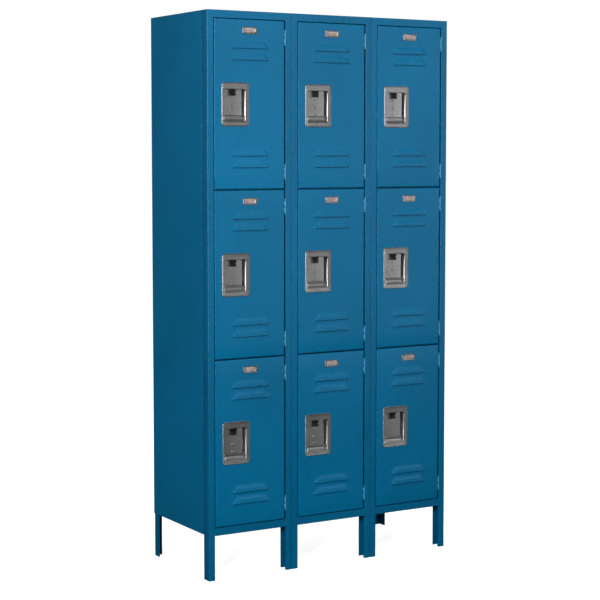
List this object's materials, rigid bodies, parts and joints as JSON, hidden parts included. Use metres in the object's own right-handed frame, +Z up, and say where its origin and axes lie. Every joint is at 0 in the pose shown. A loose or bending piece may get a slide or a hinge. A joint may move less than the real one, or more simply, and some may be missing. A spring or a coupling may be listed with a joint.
{
  "type": "locker cabinet",
  "caption": "Bank of painted sheet-steel lockers on legs, with louvred hinged doors, recessed handle pans, finger lifts and number plates.",
  "frame": {"origin": "centre of the overall box on the floor, under the feet", "axes": "+Z up, -Y out of the doors, +X towards the hinge side of each door"},
  "size_m": [0.914, 0.406, 1.8],
  "materials": {
    "blue_frame": "satin powder coat",
    "blue_sheet": "satin powder coat",
    "blue_door": "satin powder coat",
    "stainless": "brushed stainless steel",
    "black_lift": "black moulded plastic cap",
    "number_plate": "satin, with a darker grey-brown middle"
  },
  "bodies": {
    "cabinet": {"unit_1_frame": "blue_frame", "unit_2_frame": "blue_frame", "unit_3_frame": "blue_frame", "left_side_panel": "blue_sheet", "right_side_panel": "blue_sheet", "divider_1": "blue_sheet", "divider_2": "blue_sheet", "unit_1_back_panel": "blue_sheet", "unit_1_top_panel": "blue_sheet", "unit_1_bottom_panel": "blue_sheet", "unit_1_shelf_1": "blue_sheet", "unit_1_shelf_2": "blue_sheet", "unit_2_back_panel": "blue_sheet", "unit_2_top_panel": "blue_sheet", "unit_2_bottom_panel": "blue_sheet", "unit_2_shelf_1": "blue_sheet", "unit_2_shelf_2": "blue_sheet", "unit_3_back_panel": "blue_sheet", "unit_3_top_panel": "blue_sheet", "unit_3_bottom_panel": "blue_sheet", "unit_3_shelf_1": "blue_sheet", "unit_3_shelf_2": "blue_sheet", "left_rear_leg": "blue_frame", "right_rear_leg": "blue_frame"},
    "door_1_1": {"door_1_1_panel": "blue_door", "door_1_1_handle_pan": "stainless", "door_1_1_number_plate": "number_plate"},
    "lift_1_1": {"door_1_1_finger_lift": "black_lift"},
    "door_1_2": {"door_1_2_panel": "blue_door", "door_1_2_handle_pan": "stainless", "door_1_2_number_plate": "number_plate"},
    "lift_1_2": {"door_1_2_finger_lift": "black_lift"},
    "door_1_3": {"door_1_3_panel": "blue_door", "door_1_3_handle_pan": "stainless", "door_1_3_number_plate": "number_plate"},
    "lift_1_3": {"door_1_3_finger_lift": "black_lift"},
    "door_2_1": {"door_2_1_panel": "blue_door", "door_2_1_handle_pan": "stainless", "door_2_1_number_plate": "number_plate"},
    "lift_2_1": {"door_2_1_finger_lift": "black_lift"},
    "door_2_2": {"door_2_2_panel": "blue_door", "door_2_2_handle_pan": "stainless", "door_2_2_number_plate": "number_plate"},
    "lift_2_2": {"door_2_2_finger_lift": "black_lift"},
    "door_2_3": {"door_2_3_panel": "blue_door", "door_2_3_handle_pan": "stainless", "door_2_3_number_plate": "number_plate"},
    "lift_2_3": {"door_2_3_finger_lift": "black_lift"},
    "door_3_1": {"door_3_1_panel": "blue_door", "door_3_1_handle_pan": "stainless", "door_3_1_number_plate": "number_plate"},
    "lift_3_1": {"door_3_1_finger_lift": "black_lift"},
    "door_3_2": {"door_3_2_panel": "blue_door", "door_3_2_handle_pan": "stainless", "door_3_2_number_plate": "number_plate"},
    "lift_3_2": {"door_3_2_finger_lift": "black_lift"},
    "door_3_3": {"door_3_3_panel": "blue_door", "door_3_3_handle_pan": "stainless", "door_3_3_number_plate": "number_plate"},
    "lift_3_3": {"door_3_3_finger_lift": "black_lift"}
  },
  "joints": [
    {"name": "door_1_1_hinge", "type": "hinge", "parent": "cabinet", "child": "door_1_1", "pos_m": [-0.1773, -0.197, 0.436], "axis": [0, 0, 1], "range_deg": [0, 165]},
    {"name": "lift_1_1_slide", "type": "slide", "parent": "door_1_1", "child": "lift_1_1", "axis": [0, 0, 1], "range_m": [0, 0.01], "stiffness_N_per_m": 150, "springref_m": -0.008},
    {"name": "door_1_2_hinge", "type": "hinge", "parent": "cabinet", "child": "door_1_2", "pos_m": [-0.1773, -0.197, 0.972], "axis": [0, 0, 1], "range_deg": [0, 165]},
    {"name": "lift_1_2_slide", "type": "slide", "parent": "door_1_2", "child": "lift_1_2", "axis": [0, 0, 1], "range_m": [0, 0.01], "stiffness_N_per_m": 150, "springref_m": -0.008},
    {"name": "door_1_3_hinge", "type": "hinge", "parent": "cabinet", "child": "door_1_3", "pos_m": [-0.1773, -0.197, 1.508], "axis": [0, 0, 1], "range_deg": [0, 165]},
    {"name": "lift_1_3_slide", "type": "slide", "parent": "door_1_3", "child": "lift_1_3", "axis": [0, 0, 1], "range_m": [0, 0.01], "stiffness_N_per_m": 150, "springref_m": -0.008},
    {"name": "door_2_1_hinge", "type": "hinge", "parent": "cabinet", "child": "door_2_1", "pos_m": [0.1275, -0.197, 0.436], "axis": [0, 0, 1], "range_deg": [0, 165]},
    {"name": "lift_2_1_slide", "type": "slide", "parent": "door_2_1", "child": "lift_2_1", "axis": [0, 0, 1], "range_m": [0, 0.01], "stiffness_N_per_m": 150, "springref_m": -0.008},
    {"name": "door_2_2_hinge", "type": "hinge", "parent": "cabinet", "child": "door_2_2", "pos_m": [0.1275, -0.197, 0.972], "axis": [0, 0, 1], "range_deg": [0, 165]},
    {"name": "lift_2_2_slide", "type": "slide", "parent": "door_2_2", "child": "lift_2_2", "axis": [0, 0, 1], "range_m": [0, 0.01], "stiffness_N_per_m": 150, "springref_m": -0.008},
    {"name": "door_2_3_hinge", "type": "hinge", "parent": "cabinet", "child": "door_2_3", "pos_m": [0.1275, -0.197, 1.508], "axis": [0, 0, 1], "range_deg": [0, 165]},
    {"name": "lift_2_3_slide", "type": "slide", "parent": "door_2_3", "child": "lift_2_3", "axis": [0, 0, 1], "range_m": [0, 0.01], "stiffness_N_per_m": 150, "springref_m": -0.008},
    {"name": "door_3_1_hinge", "type": "hinge", "parent": "cabinet", "child": "door_3_1", "pos_m": [0.4323, -0.197, 0.436], "axis": [0, 0, 1], "range_deg": [0, 165]},
    {"name": "lift_3_1_slide", "type": "slide", "parent": "door_3_1", "child": "lift_3_1", "axis": [0, 0, 1], "range_m": [0, 0.01], "stiffness_N_per_m": 150, "springref_m": -0.008},
    {"name": "door_3_2_hinge", "type": "hinge", "parent": "cabinet", "child": "door_3_2", "pos_m": [0.4323, -0.197, 0.972], "axis": [0, 0, 1], "range_deg": [0, 165]},
    {"name": "lift_3_2_slide", "type": "slide", "parent": "door_3_2", "child": "lift_3_2", "axis": [0, 0, 1], "range_m": [0, 0.01], "stiffness_N_per_m": 150, "springref_m": -0.008},
    {"name": "door_3_3_hinge", "type": "hinge", "parent": "cabinet", "child": "door_3_3", "pos_m": [0.4323, -0.197, 1.508], "axis": [0, 0, 1], "range_deg": [0, 165]},
    {"name": "lift_3_3_slide", "type": "slide", "parent": "door_3_3", "child": "lift_3_3", "axis": [0, 0, 1], "range_m": [0, 0.01], "stiffness_N_per_m": 150, "springref_m": -0.008}
  ]
}
